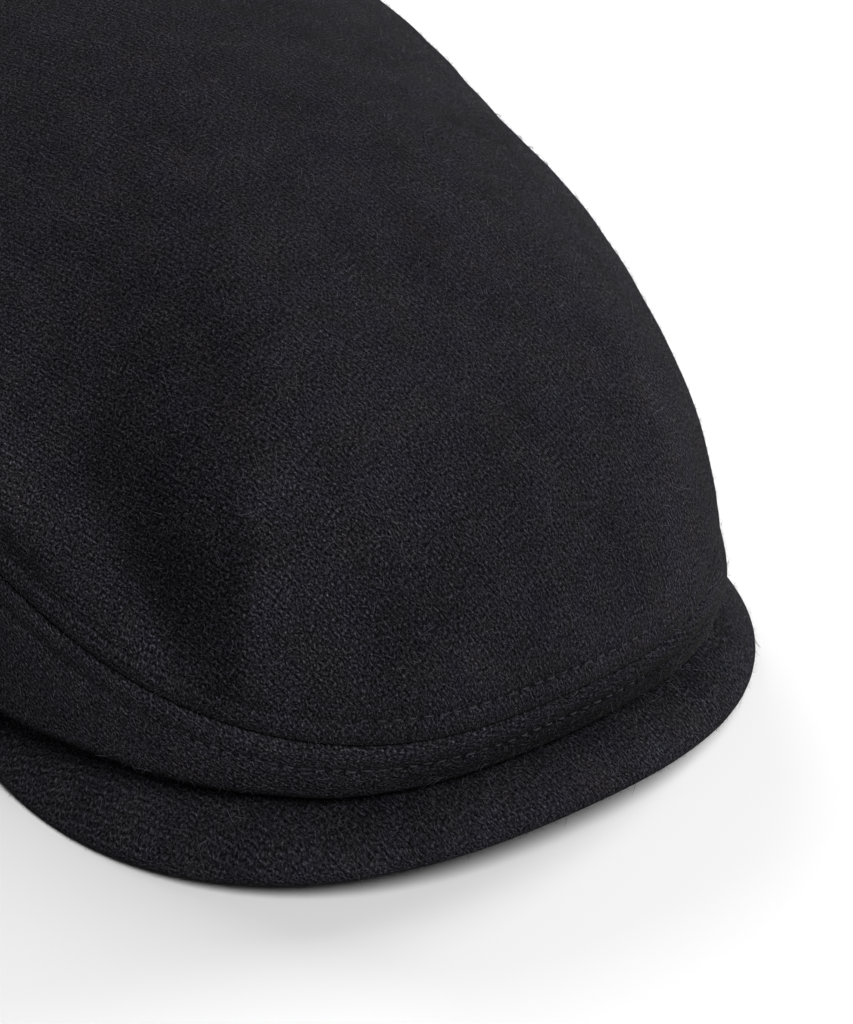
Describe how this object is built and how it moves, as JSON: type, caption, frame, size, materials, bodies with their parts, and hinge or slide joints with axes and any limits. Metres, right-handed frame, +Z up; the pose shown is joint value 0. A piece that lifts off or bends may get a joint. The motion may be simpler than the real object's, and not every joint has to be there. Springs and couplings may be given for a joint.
{
  "type": "hunting cap",
  "caption": "Flat hunting cap in black wool cloth: a smooth top panel, a side band narrow at the front, and a stiff short peak.",
  "frame": {"origin": "on the surface the cap lies on, below the middle of its length and width", "axes": "+Z up, -Y the way the peak points, +X the wearer's left"},
  "size_m": [0.1952, 0.2678, 0.1339],
  "materials": {
    "crown_melton": "black wool melton, twill weave under a short nap",
    "band_melton": "black wool melton, twill weave under a short nap",
    "peak_melton": "black wool melton drawn over a stiff board"
  },
  "bodies": {
    "root": {"crown_top": "crown_melton", "side_band": "band_melton", "peak": "peak_melton"}
  },
  "joints": []
}
